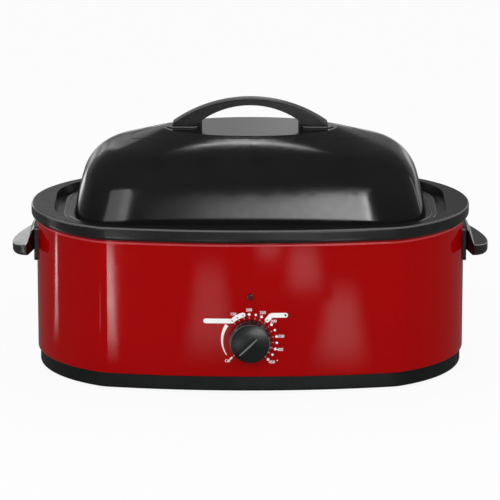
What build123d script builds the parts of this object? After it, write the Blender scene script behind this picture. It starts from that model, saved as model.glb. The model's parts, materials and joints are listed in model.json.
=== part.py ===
from build123d import *
from math import atan2, cos, hypot, pi, radians, sin, sqrt, tan
import os

# Electric roaster oven. Millimetres, +Z up, front towards -Y, X across the width.
# The origin is on the floor under the middle of the body.

# Plan outline of the body: an oval of tangent arcs, given at the rim's outer edge.
RIM_HALF_LENGTH = 265.0
RIM_HALF_WIDTH = 163.0
END_RADIUS = 163.0
SIDE_RADIUS = 850.0
CORNER_RADIUS = 50.0

# Plan outline of the recess that takes the pan and the lid, at the rim's top.
RECESS_HALF_LENGTH = 235.8
RECESS_HALF_WIDTH = 135.5
RECESS_CORNER = 100.0

# Heights
SKIRT_BOTTOM = 3.0
PLATE_BOTTOM = 6.2
HOUSING_BOTTOM = 21.2
HOUSING_TOP = 194.0
RIM_BOTTOM = 184.0
RIM_TOP = 200.7
LEDGE_TOP = 190.5
LINER_BOTTOM = 44.0
PAN_BOTTOM = 52.0
LID_FOOT = 192.3
LID_TOP = 291.6

# Sheet and wall thicknesses
SHEET = 1.0
PAN_SHEET = 1.2
LID_SHEET = 1.2
PLATE_SHEET = 1.0
RIM_WALL = 2.2
SKIRT_WALL = 2.5

# Insets from the body outline (outer faces)
HOUSING_INSET = 6.3
SKIRT_INSET = 9.1

# Insets from the recess outline
RECESS_FOOT_INSET = 2.6
LEDGE_INSET = 19.8
LINER_INSET = 20.0
PAN_BEAD_INSET = 11.4
PAN_BEAD_WIDTH = 5.2
PAN_MOUTH_INSET = 25.3
LID_FLANGE_INSET = 17.0

# Lid dome
LID_FOOT_HALF_LENGTH = 213.4
LID_FOOT_HALF_WIDTH = 113.0
LID_FLAT_HALF_LENGTH = 105.0
LID_FLAT_HALF_WIDTH = 56.0
WALL_LEAN = 15.5
SHOULDER_RADIUS = 62.0
CROWN_SLOPE = 17.5
FOOT_SQUARENESS = 4.3
TOP_SQUARENESS = 2.0
SIDE_SWELL = 0.45
DOME_SECTIONS = 18
PAD_HEIGHT = 1.6
PAD_LENGTH = 41.0
PAD_WIDTH = 22.0
PAD_X = 80.5

# Lid handle
GRIP_TOP = 327.5
GRIP_WIDTH = 17.0
GRIP_OUTER_RADIUS = 161.0
GRIP_INNER_TOP = 319.1
GRIP_INNER_RADIUS = 101.0
GRIP_HALF_LENGTH = 94.0
GRIP_LEG_INSIDE = 58.0
LID_SCREW_X = 78.0

# Control panel
KNOB_Z = 66.3
KNOB_RADIUS = 25.3
KNOB_DEPTH = 19.0
SHAFT_RADIUS = 3.0
RUNNING_GAP = 0.05
LAMP_Z = 119.0
LENS_RADIUS = 4.25
POINTER_ANGLE = 134.2

# Side handles
WING_RADIUS = 80.0
WING_TIP = 288.5
WING_CORNER = 269.5
WING_NECK = (260.5, 21.0)
WING_THICKNESS = 15.0
WING_INSIDE = 250.0
WING_OUTSIDE = 300.0
WING_SPAN = (100.0, 190.0)
SHELF_EDGE = (268.5, 157.4)
SHELF_SLOPE = 0.34
WING_WALL = 7.5
HANDLE_PLATE = 3.8
HANDLE_TOP = 171.3
HANDLE_TAB_BOTTOM = 130.0
HANDLE_SCREW_Y = 12.0
HANDLE_SCREW_Z = 150.0
HANDLE_SCREW_RADIUS = 2.0

# Back of the body
GLAND_X = 62.0
GLAND_Z = 46.0
GLAND_BORE = 3.6
GLAND_REACH = 15.0

SMALL = 0.1


# Plan outlines


def arc_centres():
    """Centres of the right end arc, the far side arc and the corner arc between them."""
    end_x = RIM_HALF_LENGTH - END_RADIUS
    side_y = RIM_HALF_WIDTH - SIDE_RADIUS
    to_end = END_RADIUS - CORNER_RADIUS
    to_side = SIDE_RADIUS - CORNER_RADIUS
    gap = hypot(end_x, side_y)
    along = (to_end**2 - to_side**2 + gap**2) / (2 * gap)
    across = sqrt(to_end**2 - along**2)
    ux, uy = -end_x / gap, side_y / gap
    corner = (end_x + along * ux - across * uy, along * uy + across * ux)
    return (end_x, 0.0), (0.0, side_y), corner


def oval(inset=0.0):
    """The body's outline, moved in by inset, as a face."""
    end, side, corner = arc_centres()
    end_angle = atan2(corner[1] - end[1], corner[0] - end[0])
    side_angle = atan2(corner[1] - side[1], corner[0] - side[0])

    def at(centre, radius, angle):
        reach = radius - inset
        return (centre[0] + reach * cos(angle), centre[1] + reach * sin(angle))

    on_end = at(end, END_RADIUS, end_angle)
    on_corner = at(corner, CORNER_RADIUS, (end_angle + side_angle) / 2)
    on_side = at(side, SIDE_RADIUS, side_angle)
    tip = (RIM_HALF_LENGTH - inset, 0)
    flank = (0, RIM_HALF_WIDTH - inset)

    def flip(point, x=1, y=1):
        return (x * point[0], y * point[1])

    edges = [
        ThreePointArc(flip(on_end, 1, -1), tip, on_end),
        ThreePointArc(on_end, on_corner, on_side),
        ThreePointArc(on_side, flank, flip(on_side, -1)),
        ThreePointArc(flip(on_side, -1), flip(on_corner, -1), flip(on_end, -1)),
        ThreePointArc(flip(on_end, -1), flip(tip, -1), flip(on_end, -1, -1)),
        ThreePointArc(flip(on_end, -1, -1), flip(on_corner, -1, -1), flip(on_side, -1, -1)),
        ThreePointArc(flip(on_side, -1, -1), flip(flank, 1, -1), flip(on_side, 1, -1)),
        ThreePointArc(flip(on_side, 1, -1), flip(on_corner, 1, -1), flip(on_end, 1, -1)),
    ]
    return make_face(Wire(edges))


def recess(inset=0.0):
    """The recess's outline, moved in by inset, as a sketch."""
    length = 2 * (RECESS_HALF_LENGTH - inset)
    width = 2 * (RECESS_HALF_WIDTH - inset)
    return RectangleRounded(length, width, RECESS_CORNER - inset)


def side_y(x, inset=0.0):
    """Distance from the middle to the body's front or back wall at x."""
    radius = SIDE_RADIUS - inset
    return RIM_HALF_WIDTH - SIDE_RADIUS + sqrt(radius**2 - x**2)


def slab(outline, bottom, top):
    """An outline raised from one height to another."""
    return extrude(Pos(0, 0, bottom) * outline, amount=top - bottom)


def block(x0, x1, y0, y1, z0, z1):
    """A box between two corners."""
    middle = Pos((x0 + x1) / 2, (y0 + y1) / 2, (z0 + z1) / 2)
    return middle * Box(x1 - x0, y1 - y0, z1 - z0)


def rod(radius, start, end):
    """A round bar from one point to another."""
    run = Vector(*end) - Vector(*start)
    plane = Plane(origin=start, z_dir=run.normalized())
    return extrude(plane * Circle(radius), amount=run.length)


def hexagon(across_flats, start, end):
    """A hexagonal bar from one point to another."""
    run = Vector(*end) - Vector(*start)
    plane = Plane(origin=start, z_dir=run.normalized())
    outline = RegularPolygon(across_flats / 2, 6, major_radius=False)
    return extrude(plane * outline, amount=run.length)


def pan_screw(radius, head_radius, head_height, under_head, tip):
    """A pan-head screw whose head starts under_head and whose shank ends at tip."""
    back = (Vector(*under_head) - Vector(*tip)).normalized()
    crown = Vector(*under_head) + back * head_height
    head = rod(head_radius, under_head, tuple(crown))
    return head + rod(radius, under_head, tip)


def wire(radius, points, bends):
    """A round wire along straight runs joined by arcs."""
    route = FilletPolyline(*points, radius=bends)
    start = Plane(origin=route @ 0, z_dir=route % 0)
    return sweep(start * Circle(radius), path=route)


def at_corners(x, y):
    """The four points at plus and minus x and y."""
    return [(sx * x, sy * y) for sx in (-1, 1) for sy in (-1, 1)]


def edges_at(shape, height, tolerance=0.01):
    """The edges of a shape that lie level at a height."""
    found = shape.edges().filter_by_position(Axis.Z, height - tolerance, height + tolerance)
    return found


# Body, outside

BOSS_POINTS = [(-248.0, 0), (248.0, 0)] + at_corners(80.0, 145.0)
BOSS_RADIUS = 4.5
LINER_SCREW_RADIUS = 1.95


def top_rim():
    """Moulded ring with a stepped recess, hollow underneath, with bosses for the liner."""
    rim = slab(oval(), RIM_BOTTOM, RIM_TOP)
    rim = fillet(edges_at(rim, RIM_TOP), 3.0)
    rim = fillet(edges_at(rim, RIM_BOTTOM), 5.4)
    ledge_bottom = LEDGE_TOP - RIM_WALL
    land_bottom = RIM_TOP - RIM_WALL
    hollow = oval(HOUSING_INSET - 0.3)
    rim -= slab(hollow, RIM_BOTTOM, ledge_bottom)
    rim -= slab(hollow, ledge_bottom, land_bottom) - slab(recess(-RIM_WALL), ledge_bottom, land_bottom)
    top = Pos(0, 0, RIM_TOP) * recess()
    foot = Pos(0, 0, LEDGE_TOP) * recess(RECESS_FOOT_INSET)
    rim -= loft(Sketch() + [foot, top])
    rim -= slab(recess(LEDGE_INSET), ledge_bottom - 1, LEDGE_TOP)
    for x, y in BOSS_POINTS:
        rim += rod(BOSS_RADIUS, (x, y, ledge_bottom), (x, y, land_bottom + SMALL))
        rim -= rod(LINER_SCREW_RADIUS + 0.05, (x, y, ledge_bottom), (x, y, land_bottom - 0.4))
    return rim


SHAFT_HOLE = 5.0
THERMOSTAT_SCREW_X = 14.0
THERMOSTAT_SCREW_RADIUS = 1.95
LENS_STEM = 3.5
SEAM_GAP = 0.5
SEAM_ANGLE = 45.0
END_X = RIM_HALF_LENGTH - END_RADIUS
RIVET_RADIUS = 1.55
RIVET_POINTS = [(y, z) for y in (-6.5, 6.5) for z in (44.0, 86.0, 128.0, 170.0)]
SPLICE_INSET = HOUSING_INSET + SHEET + SMALL
SPLICE_SHEET = 0.8
SPLICE_HALF_WIDTH = 13.0
GLAND_STEM = 6.4


def at_seams(shape):
    """A shape made along the end arc's +X radius, turned to the two seams behind."""
    right = Pos(END_X, 0, 0) * Rot(0, 0, SEAM_ANGLE) * shape
    return [right, mirror(right, about=Plane.YZ)]


def behind_seams():
    """The space behind the two seams, for the height of the wrap."""
    reach = 1.2 * END_RADIUS
    x = END_X + reach * cos(radians(SEAM_ANGLE))
    y = reach * sin(radians(SEAM_ANGLE))
    right = [(END_X, 0), (x, y), (x, RIM_HALF_WIDTH)]
    outline = right + [(-x, y) for x, y in reversed(right)]
    return slab(make_face(Polyline(*outline, close=True)), HOUSING_BOTTOM, HOUSING_TOP)


def whole_wrap():
    """The painted steel wrap before it is parted: an oval band with a rolled lower lip."""
    shell = slab(oval(HOUSING_INSET), HOUSING_BOTTOM, HOUSING_TOP)
    shell = fillet(edges_at(shell, HOUSING_BOTTOM), 2.2)
    inner = slab(oval(HOUSING_INSET + SHEET), HOUSING_BOTTOM + SHEET, HOUSING_TOP)
    shell -= fillet(edges_at(inner, HOUSING_BOTTOM + SHEET), 1.2)
    shell -= slab(oval(SKIRT_INSET + 0.2), HOUSING_BOTTOM, HOUSING_BOTTOM + 2 * SHEET)
    gap = block(END_RADIUS / 2, END_RADIUS, -SEAM_GAP / 2, SEAM_GAP / 2, HOUSING_BOTTOM, HOUSING_TOP)
    for cut in at_seams(gap):
        shell -= cut
    for y, z in RIVET_POINTS:
        for cut in at_seams(rod(RIVET_RADIUS + 0.05, (END_RADIUS / 2, y, z), (END_RADIUS, y, z))):
            shell -= cut
    return shell


def outer_housing():
    """The wrap's front sheet: it holds the controls and runs round both ends."""
    shell = whole_wrap() - behind_seams()
    front = RIM_HALF_WIDTH
    shell -= rod(SHAFT_HOLE, (0, -front, KNOB_Z), (0, -front / 2, KNOB_Z))
    for x in (-THERMOSTAT_SCREW_X, THERMOSTAT_SCREW_X):
        radius = THERMOSTAT_SCREW_RADIUS + 0.2
        shell -= rod(radius, (x, -front, KNOB_Z), (x, -front / 2, KNOB_Z))
    shell -= rod(LENS_STEM + 0.15, (0, -front, LAMP_Z), (0, -front / 2, LAMP_Z))
    for x, y in at_corners(RIM_HALF_LENGTH, HANDLE_SCREW_Y):
        radius = HANDLE_SCREW_RADIUS + 0.2
        shell -= rod(radius, (0.8 * x, y, HANDLE_SCREW_Z), (x, y, HANDLE_SCREW_Z))
    return shell


def housing_back():
    """The wrap's back sheet, with the hole for the cord gland."""
    start = (GLAND_X, RIM_HALF_WIDTH / 2, GLAND_Z)
    hole = rod(GLAND_STEM + 0.1, start, (GLAND_X, RIM_HALF_WIDTH, GLAND_Z))
    return (whole_wrap() & behind_seams()) - hole


def housing_splices():
    """The strips behind the wrap's two butt seams."""
    outer = END_RADIUS - SPLICE_INSET
    bottom, top = 30.0, 182.0
    strip = slab(Circle(outer) - Circle(outer - SPLICE_SHEET), bottom, top)
    strip &= block(outer / 2, END_RADIUS, -SPLICE_HALF_WIDTH, SPLICE_HALF_WIDTH, bottom, top)
    for y, z in RIVET_POINTS:
        strip -= rod(RIVET_RADIUS + 0.05, (outer / 2, y, z), (END_RADIUS, y, z))
    return at_seams(strip)


def splice_rivets():
    """Rivets through the wrap and the strips, with a head at each end."""
    rivets = []
    for y, z in RIVET_POINTS:
        outside = sqrt((END_RADIUS - HOUSING_INSET) ** 2 - (abs(y) - 3.0) ** 2) + 0.02
        back_face = END_RADIUS - SPLICE_INSET - SPLICE_SHEET
        inside = sqrt(back_face**2 - (abs(y) + 3.0) ** 2) - 0.02
        rivet = rod(RIVET_RADIUS, (inside, y, z), (outside, y, z))
        head = rod(3.0, (outside, y, z), (outside + 1.1, y, z))
        rivet += fillet(head.edges().sort_by(Axis.X)[-1], 0.9)
        rivet += rod(2.6, (inside - 0.8, y, z), (inside, y, z))
        rivets += at_seams(rivet)
    return rivets


def base_skirt():
    """Moulded skirt that carries the wrap and takes the bottom plate from below."""
    flange_bottom = PLATE_BOTTOM + PLATE_SHEET
    flange_top = flange_bottom + 3.0
    shoulder = HOUSING_BOTTOM - 0.2
    upstand_top = HOUSING_BOTTOM + 9.0
    upstand_inset = SKIRT_INSET + 0.5
    skirt = slab(oval(SKIRT_INSET), SKIRT_BOTTOM, shoulder)
    skirt = fillet(edges_at(skirt, SKIRT_BOTTOM), 3.5)
    skirt += slab(oval(upstand_inset), shoulder - 1, upstand_top)
    skirt -= slab(oval(SKIRT_INSET + SKIRT_WALL), flange_top, upstand_top)
    skirt -= slab(oval(34.0), flange_bottom, flange_top)
    skirt -= slab(oval(15.5), SKIRT_BOTTOM, flange_bottom)
    return skirt


FOOT_POINTS = at_corners(168.0, 86.0)
FOOT_NECK = 4.0
STUD_X = 90.0
STUD_RADIUS = 2.5
BLOCK_X = GLAND_X
BLOCK_Y = 112.0
BLOCK_SCREW_SPAN = 11.0
GROUND_POINT = (112.0, 108.0)
PLATE_SCREW_RADIUS = 1.7


def bottom_plate():
    """Steel plate that closes the base, with air slots."""
    top = PLATE_BOTTOM + PLATE_SHEET
    plate = slab(oval(16.0), PLATE_BOTTOM, top)
    for x, y in FOOT_POINTS:
        plate -= rod(FOOT_NECK + SMALL, (x, y, PLATE_BOTTOM), (x, y, top))
    for x in (-STUD_X, STUD_X):
        plate -= rod(STUD_RADIUS + 0.3, (x, 0, PLATE_BOTTOM), (x, 0, top))
    for step in range(-4, 5):
        for y in (-62.0, 62.0):
            slot = Pos(step * 15.0, y, PLATE_BOTTOM) * SlotOverall(34, 5, rotation=90)
            plate -= extrude(slot, amount=PLATE_SHEET)
    for x in (BLOCK_X - BLOCK_SCREW_SPAN, BLOCK_X + BLOCK_SCREW_SPAN):
        radius = PLATE_SCREW_RADIUS + 0.05
        plate -= rod(radius, (x, BLOCK_Y, PLATE_BOTTOM), (x, BLOCK_Y, top))
    x, y = GROUND_POINT
    plate -= rod(2.05, (x, y, PLATE_BOTTOM), (x, y, top))
    return plate


def rubber_feet():
    """Push-in feet: a tapered pad, a neck through the plate and a bulb above it."""
    feet = []
    top = PLATE_BOTTOM + PLATE_SHEET
    for x, y in FOOT_POINTS:
        pad = Pos(x, y, PLATE_BOTTOM / 2) * Cone(11.5, 13.0, PLATE_BOTTOM)
        foot = fillet(pad.edges().sort_by(Axis.Z)[0], 1.2)
        foot += rod(FOOT_NECK, (x, y, PLATE_BOTTOM), (x, y, top))
        foot += Pos(x, y, top + 2.0) * Cone(6.5, 4.0, 4.0)
        feet.append(foot)
    return feet


# Side handles


def wing_plan(inset=0.0):
    """Plan of the right wing without its outer arc: it narrows to a neck at the wall."""
    corner_y = sqrt(WING_RADIUS**2 - (WING_CORNER - WING_TIP + WING_RADIUS) ** 2)
    neck_x, neck_y = WING_NECK
    half = [(neck_x - 10, neck_y), (neck_x, neck_y), (WING_CORNER, corner_y), (WING_TIP, 1.2 * corner_y)]
    plan = make_face(Polyline(*half, *[(x, -y) for x, y in reversed(half)], close=True))
    return offset(plan, -inset) if inset else plan


def shelf_height(x):
    """Height of the wing's sloping top at a distance from the middle of the body."""
    return SHELF_EDGE[1] - SHELF_SLOPE * (x - SHELF_EDGE[0])


def wing_section(drop, depth):
    """Side view of the wing, drop lower and depth deep: a sloping shelf and a rounded riser."""
    riser = [(WING_INSIDE, HANDLE_TOP), (263.5, 170.5), SHELF_EDGE]
    shelf = [(WING_OUTSIDE, shelf_height(WING_OUTSIDE))]
    bottom = [(x, shelf_height(x) - depth) for x in (WING_OUTSIDE, WING_INSIDE)]
    outline = [(x, z - drop) for x, z in riser + shelf + bottom]
    face = make_face(Plane.XZ * Polyline(*outline, close=True))
    bends = [corner for corner in face.vertices() if 260 < corner.X < 270]
    return extrude(fillet(bends, 4.0), amount=WING_RADIUS, both=True)


def wing(inset):
    """The wing's upright outline, moved in by inset."""
    disc = Pos(WING_TIP - WING_RADIUS, 0) * Circle(WING_RADIUS - inset)
    return slab(disc, *WING_SPAN) & slab(wing_plan(inset), *WING_SPAN)


def side_handle(side):
    """Wing handle hollowed from below, on a curved back plate with a lower tab."""
    body = wing(0) & wing_section(0, WING_THICKNESS)
    for end, rounding in ((-1, 1.2), (0, 5.0)):
        brows = body.edges().filter_by(GeomType.ELLIPSE).sort_by(SortBy.LENGTH)[-2:]
        body = fillet(brows.sort_by(Axis.Z)[end], rounding)
    wall = slab(oval(HOUSING_INSET - 0.03), *WING_SPAN)
    plate = slab(oval(HOUSING_INSET - HANDLE_PLATE), HANDLE_TAB_BOTTOM, HANDLE_TOP)
    face = block(200, 300, -22, 22, HANDLE_TAB_BOTTOM, HANDLE_TOP)
    handle = body + (plate & fillet(face.edges().filter_by(Axis.X), 4.0)) - wall
    hollow = wing(WING_WALL) & wing_section(4.5, 30.0)
    handle -= hollow & block(266.5, WING_OUTSIDE, -60, 60, *WING_SPAN)
    for y in (-HANDLE_SCREW_Y, HANDLE_SCREW_Y):
        handle += rod(4.0, (262, y, HANDLE_SCREW_Z), (268.5, y, HANDLE_SCREW_Z))
        radius = HANDLE_SCREW_RADIUS + 0.05
        handle -= rod(radius, (250, y, HANDLE_SCREW_Z), (267.5, y, HANDLE_SCREW_Z))
    if side < 0:
        handle = mirror(handle, about=Plane.YZ)
    return handle


def side_handle_screws():
    """Screws from inside the wrap into each handle."""
    inner = END_RADIUS - HOUSING_INSET - SHEET
    head_x = RIM_HALF_LENGTH - END_RADIUS + sqrt(inner**2 - (HANDLE_SCREW_Y + 4.0) ** 2) - 0.03
    screws = []
    for side_x, y in at_corners(1, HANDLE_SCREW_Y):
        under_head = (side_x * head_x, y, HANDLE_SCREW_Z)
        tip = (side_x * 267.0, y, HANDLE_SCREW_Z)
        screws.append(pan_screw(HANDLE_SCREW_RADIUS, 4.0, 2.4, under_head, tip))
    return screws


# Lid


def dome_stations():
    """Evenly spaced points of the dome's end profile: half length, height and tilt.

    The profile is a leaning wall, a shoulder arc and a straight crown slope; the tilt is
    the angle of its outward normal above the horizontal.
    """
    lean = radians(WALL_LEAN)
    crown = radians(90 - CROWN_SLOPE)
    rise = LID_TOP - LID_FOOT - SHOULDER_RADIUS * (sin(crown) - sin(lean))
    run = LID_FOOT_HALF_LENGTH - LID_FLAT_HALF_LENGTH - SHOULDER_RADIUS * (cos(lean) - cos(crown))
    slope = tan(radians(CROWN_SLOPE))
    wall_rise = (rise - run * slope) / (1 - tan(lean) * slope)
    wall_length = wall_rise / cos(lean)
    arc_length = SHOULDER_RADIUS * (crown - lean)
    crown_length = (run - wall_rise * tan(lean)) / sin(crown)
    arc_x = LID_FOOT_HALF_LENGTH - wall_rise * tan(lean) - SHOULDER_RADIUS * cos(lean)
    arc_z = LID_FOOT + wall_rise - SHOULDER_RADIUS * sin(lean)
    length = wall_length + arc_length + crown_length
    stations = []
    for step in range(DOME_SECTIONS):
        along = length * step / (DOME_SECTIONS - 1)
        left = length - along
        if along < wall_length:
            x = LID_FOOT_HALF_LENGTH - along * sin(lean)
            stations.append((x, LID_FOOT + along * cos(lean), lean))
        elif left < crown_length:
            x = LID_FLAT_HALF_LENGTH + left * sin(crown)
            stations.append((x, LID_TOP - left * cos(crown), crown))
        else:
            tilt = lean + (along - wall_length) / SHOULDER_RADIUS
            x = arc_x + SHOULDER_RADIUS * cos(tilt)
            stations.append((x, arc_z + SHOULDER_RADIUS * sin(tilt), tilt))
    return stations


def lid_section(half_length, height, inset):
    """A level section of the dome: a superellipse, squarer at the foot than at the top.

    The long sides swell between the two, so the crown is rounder there than at the ends.
    """
    reach = LID_FOOT_HALF_LENGTH - LID_FLAT_HALF_LENGTH
    share = (half_length - LID_FLAT_HALF_LENGTH) / reach
    swelled = share * (1 + SIDE_SWELL * (1 - share))
    half_width = LID_FLAT_HALF_WIDTH + swelled * (LID_FOOT_HALF_WIDTH - LID_FLAT_HALF_WIDTH)
    power = TOP_SQUARENESS + share * (FOOT_SQUARENESS - TOP_SQUARENESS)
    points = []
    count = 32
    for step in range(count):
        c, s = cos(2 * pi * step / count), sin(2 * pi * step / count)
        scale = (abs(c) ** power + abs(s) ** power) ** (-1 / power)
        x = (half_length - inset) * c * scale
        y = (half_width - inset) * s * scale
        points.append((x, y, height))
    return Face(Wire(Spline(*points, periodic=True)))


def dome(thickness):
    """The dome's solid, moved in by a thickness measured square to its surface."""
    outlines = []
    for half_length, height, tilt in dome_stations():
        inset = thickness * cos(tilt)
        section = lid_section(half_length, height - thickness * sin(tilt), inset)
        outlines.append(section.outer_wire())
    return Solid.make_loft(outlines)


def lid_shell():
    """Domed lid with a rolled flange, a flat top and a raised pad under each handle foot."""
    flange_top = LID_FOOT + 2.2
    lid = Part() + dome(0)
    flange = slab(recess(LID_FLANGE_INSET), LID_FOOT, flange_top)
    flange = fillet(edges_at(flange, flange_top) + edges_at(flange, LID_FOOT), 1.0)
    lid += flange
    for side in (-1, 1):
        pad = SlotOverall(PAD_LENGTH, PAD_WIDTH)
        pad = slab(Pos(side * PAD_X, 0) * pad, LID_TOP - SMALL, LID_TOP + PAD_HEIGHT)
        lid += fillet(edges_at(pad, LID_TOP + PAD_HEIGHT), 1.0)
    inner = dome(LID_SHEET)
    lid -= inner
    mouth = lid_section(LID_FOOT_HALF_LENGTH, LID_FOOT - 2, LID_SHEET)
    lid -= extrude(mouth, amount=4)
    for side in (-1, 1):
        x = side * LID_SCREW_X
        lid -= rod(2.7, (x, 0, LID_TOP - 3), (x, 0, LID_TOP + PAD_HEIGHT + 1))
    return lid


def lid_handle():
    """Arched grip whose legs stand on the lid's pads."""
    foot = LID_TOP + PAD_HEIGHT
    outer_z = GRIP_TOP - GRIP_OUTER_RADIUS
    inner_z = GRIP_INNER_TOP - GRIP_INNER_RADIUS
    shoulder_x = GRIP_HALF_LENGTH - 1.5
    shoulder_z = outer_z + sqrt(GRIP_OUTER_RADIUS**2 - shoulder_x**2)
    leg_z = inner_z + sqrt(GRIP_INNER_RADIUS**2 - GRIP_LEG_INSIDE**2)

    def place(x, z):
        return (x, 0, z)

    outline = [
        ThreePointArc(place(-shoulder_x, shoulder_z), place(0, GRIP_TOP), place(shoulder_x, shoulder_z)),
        Line(place(shoulder_x, shoulder_z), place(GRIP_HALF_LENGTH, foot)),
        Line(place(GRIP_HALF_LENGTH, foot), place(GRIP_LEG_INSIDE, foot)),
        Line(place(GRIP_LEG_INSIDE, foot), place(GRIP_LEG_INSIDE, leg_z)),
        ThreePointArc(
            place(GRIP_LEG_INSIDE, leg_z), place(0, GRIP_INNER_TOP), place(-GRIP_LEG_INSIDE, leg_z)),
        Line(place(-GRIP_LEG_INSIDE, leg_z), place(-GRIP_LEG_INSIDE, foot)),
        Line(place(-GRIP_LEG_INSIDE, foot), place(-GRIP_HALF_LENGTH, foot)),
        Line(place(-GRIP_HALF_LENGTH, foot), place(-shoulder_x, shoulder_z)),
    ]
    grip = extrude(make_face(Wire(outline)), amount=GRIP_WIDTH / 2, both=True)
    arcs = grip.edges().filter_by(GeomType.CIRCLE)
    grip = fillet(arcs.sort_by(SortBy.LENGTH)[-2:], 2.4)
    for side in (-1, 1):
        x = side * LID_SCREW_X
        grip -= rod(2.45, (x, 0, foot - 1), (x, 0, foot + 11.5))
    return grip


def lid_handle_screws():
    """Screws from inside the lid up into the grip's legs."""
    under_head = LID_TOP - LID_SHEET - 1.1
    screws = []
    for side in (-1, 1):
        x = side * LID_SCREW_X
        screw = pan_screw(2.4, 4.6, 3.0, (x, 0, under_head), (x, 0, LID_TOP + 12.0))
        for length, width in ((6.0, 1.2), (1.2, 6.0)):
            screw -= Pos(x, 0, under_head - 3.0) * Box(length, width, 2.4)
        screws.append(screw)
    return screws


def lid_handle_washers():
    """Plain washers under the lid screws' heads."""
    top = LID_TOP - LID_SHEET - 0.05
    washers = []
    for side in (-1, 1):
        x = side * LID_SCREW_X
        disc = rod(7.0, (x, 0, top - 1.0), (x, 0, top))
        washers.append(disc - rod(2.6, (x, 0, top - 1.0), (x, 0, top)))
    return washers


# Pan and rack

PAN_FLANGE_BOTTOM = LEDGE_TOP + 0.3
PAN_LAND_TOP = PAN_FLANGE_BOTTOM + PAN_SHEET
PAN_BEAD_TOP = PAN_FLANGE_BOTTOM + 3.4
PAN_DRAFT = 9.9


def roasting_pan():
    """Deep pan with a rolled bead round its flange."""
    bead = slab(recess(PAN_BEAD_INSET), PAN_FLANGE_BOTTOM, PAN_BEAD_TOP)
    bead = fillet(edges_at(bead, PAN_BEAD_TOP) + edges_at(bead, PAN_FLANGE_BOTTOM), 1.5)
    land = slab(recess(PAN_BEAD_INSET + PAN_BEAD_WIDTH), PAN_LAND_TOP, PAN_BEAD_TOP + 1)
    bead -= land
    mouth_inset = PAN_MOUTH_INSET - PAN_SHEET
    mouth = Pos(0, 0, PAN_LAND_TOP) * recess(mouth_inset)
    floor = Pos(0, 0, PAN_BOTTOM) * recess(mouth_inset + PAN_DRAFT)
    body = loft(Sketch() + [floor, mouth])
    body = fillet(edges_at(body, PAN_BOTTOM), 20.0)
    pan = bead + body
    mouth = Pos(0, 0, PAN_LAND_TOP) * recess(PAN_MOUTH_INSET)
    floor = Pos(0, 0, PAN_BOTTOM + PAN_SHEET) * recess(PAN_MOUTH_INSET + PAN_DRAFT)
    inside = loft(Sketch() + [floor, mouth])
    inside = fillet(edges_at(inside, PAN_BOTTOM + PAN_SHEET), 20.0 - PAN_SHEET)
    return pan - inside


RACK_Z = 66.0
RACK_HALF_LENGTH = 189.0
RACK_HALF_WIDTH = 90.0
RACK_FRAME_RADIUS = 2.5
RACK_BAR_RADIUS = 1.7
RACK_BARS = 11
RACK_LOOP_TOP = 176.0
RACK_LOOP_HALF_WIDTH = 32.0
RACK_CORNER = 50.0
RACK_PITCH = 30.0
RACK_RUNNER_Y = 34.0


def roasting_rack():
    """Welded wire rack: frame, cross bars, legs and a lifting loop at each end."""
    frame_wire = RectangleRounded(2 * RACK_HALF_LENGTH, 2 * RACK_HALF_WIDTH, RACK_CORNER).wire()
    path = Pos(0, 0, RACK_Z) * frame_wire
    start = Plane(origin=path @ 0, z_dir=path % 0)
    rack = sweep(start * Circle(RACK_FRAME_RADIUS), path=path)
    bar_z = RACK_Z + RACK_FRAME_RADIUS + RACK_BAR_RADIUS - 0.6
    for step in range(RACK_BARS):
        x = (step - (RACK_BARS - 1) / 2) * RACK_PITCH
        into_corner = max(0.0, abs(x) - (RACK_HALF_LENGTH - RACK_CORNER))
        reach = RACK_HALF_WIDTH - RACK_CORNER + sqrt(RACK_CORNER**2 - into_corner**2)
        rack += rod(RACK_BAR_RADIUS, (x, -reach, bar_z), (x, reach, bar_z))
    for y in (-RACK_RUNNER_Y, RACK_RUNNER_Y):
        rack += rod(2.0, (-RACK_HALF_LENGTH, y, RACK_Z), (RACK_HALF_LENGTH, y, RACK_Z))
    for x, y in at_corners(4 * RACK_PITCH, 60.0):
        rack += rod(2.0, (x, y, PAN_BOTTOM + PAN_SHEET + 0.3), (x, y, bar_z))
    for side in (-1, 1):
        x = side * RACK_HALF_LENGTH
        y = RACK_LOOP_HALF_WIDTH
        loop = [(x, -y, RACK_Z), (x, -y, RACK_LOOP_TOP), (x, y, RACK_LOOP_TOP), (x, y, RACK_Z)]
        rack += wire(2.0, loop, 14.0)
    return rack


# Knob group, drawn with its pointer up the Z axis and its back at y = 0, then turned

KNOB_BACK = -(RIM_HALF_WIDTH - HOUSING_INSET + 1.0)
KNOB_SKIN = 2.6
KNOB_CAMBER = 2.4
HUB_RADIUS = 7.0
HUB_DEPTH = 13.0
FLAT_OFFSET = 2.0
FLAT_START = 3.0
GROOVE_START = -9.6
GROOVE_DEPTH = 2.6
GROOVE_BOTTOM_X = -0.8
GROOVE_STEEP_RUN = 1.1
GROOVE_SLANT_RUN = 3.4


def at_knob(shape):
    """A knob piece turned to Off and put on the panel."""
    return Pos(0, KNOB_BACK, KNOB_Z) * Rot(0, -POINTER_ANGLE, 0) * shape


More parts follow.
